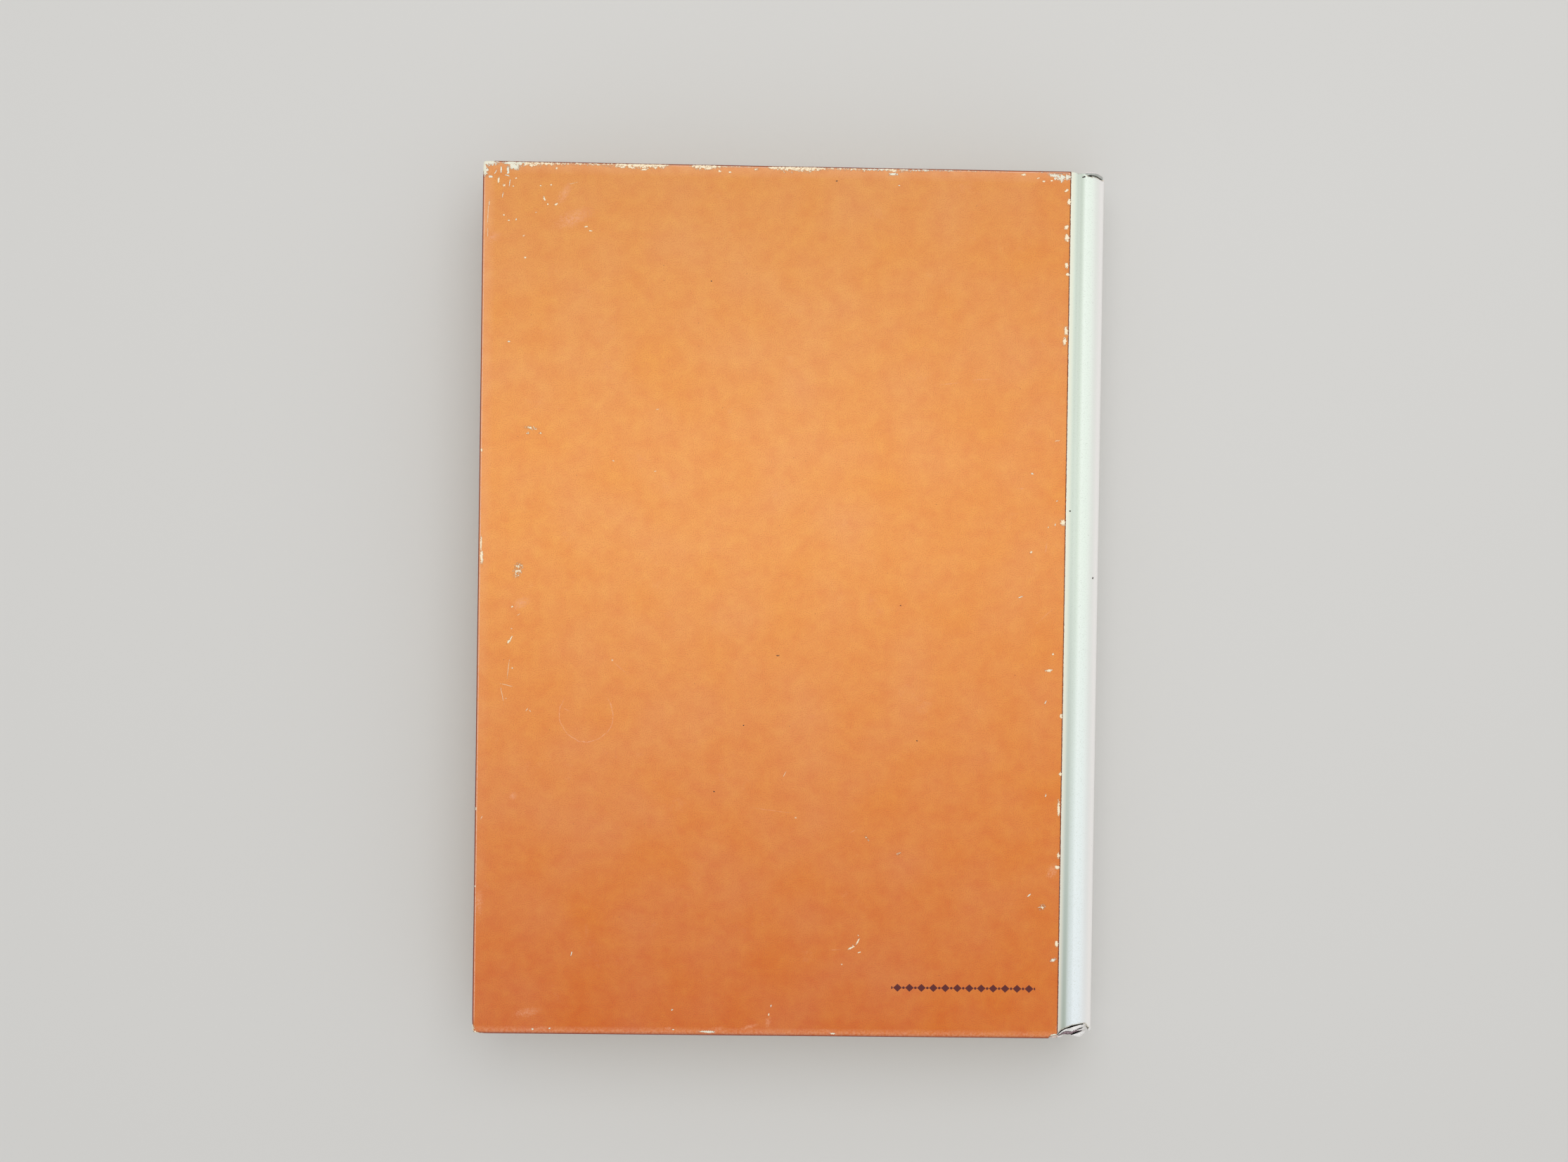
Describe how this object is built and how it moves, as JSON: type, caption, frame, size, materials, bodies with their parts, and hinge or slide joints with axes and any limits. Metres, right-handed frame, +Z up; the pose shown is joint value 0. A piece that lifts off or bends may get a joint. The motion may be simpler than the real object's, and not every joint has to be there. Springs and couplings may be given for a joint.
{
  "type": "hardcover book",
  "caption": "Casebound cookbook with a rounded spine, grooved joints and covers that swing open; printed covering with worn edges.",
  "frame": {"origin": "under the middle of the closed book, on the surface that the front cover lies on", "axes": "+Z up out of the back cover, +Y towards the head of the book, +X towards the spine"},
  "size_m": [0.1878, 0.2604, 0.03],
  "materials": {
    "binders_board": "dull grey-brown board",
    "printed_paper": "satin printed orange, scuffed",
    "unprinted_paper": "satin pale mint white, scuffed",
    "grey_card": "dull grey card",
    "page_paper": "matt, cut leaf edges",
    "endpaper": "matt, smooth",
    "gauze": "starched open weave",
    "kraft_paper": "matt, brown",
    "band_cotton": "woven cotton bead"
  },
  "bodies": {
    "text_block": {"page_block": "page_paper", "back_flyleaf": "endpaper", "front_flyleaf": "endpaper", "spine_mull": "gauze", "spine_lining": "kraft_paper", "spine_card": "grey_card", "spine_paper": "unprinted_paper", "head_band": "band_cotton", "tail_band": "band_cotton"},
    "back_cover": {"back_board": "binders_board", "back_cover_paper": "printed_paper", "back_pastedown": "endpaper"},
    "front_cover": {"front_board": "binders_board", "front_cover_paper": "printed_paper", "front_pastedown": "endpaper"}
  },
  "joints": [
    {"name": "back_cover_hinge", "type": "hinge", "parent": "text_block", "child": "back_cover", "pos_m": [0.08621, 0, 0.0279], "axis": [0, 1, 0], "range_deg": [0, 180]},
    {"name": "front_cover_hinge", "type": "hinge", "parent": "text_block", "child": "front_cover", "pos_m": [0.08621, 0, 0.0021], "axis": [0, -1, 0], "range_deg": [0, 180]}
  ]
}
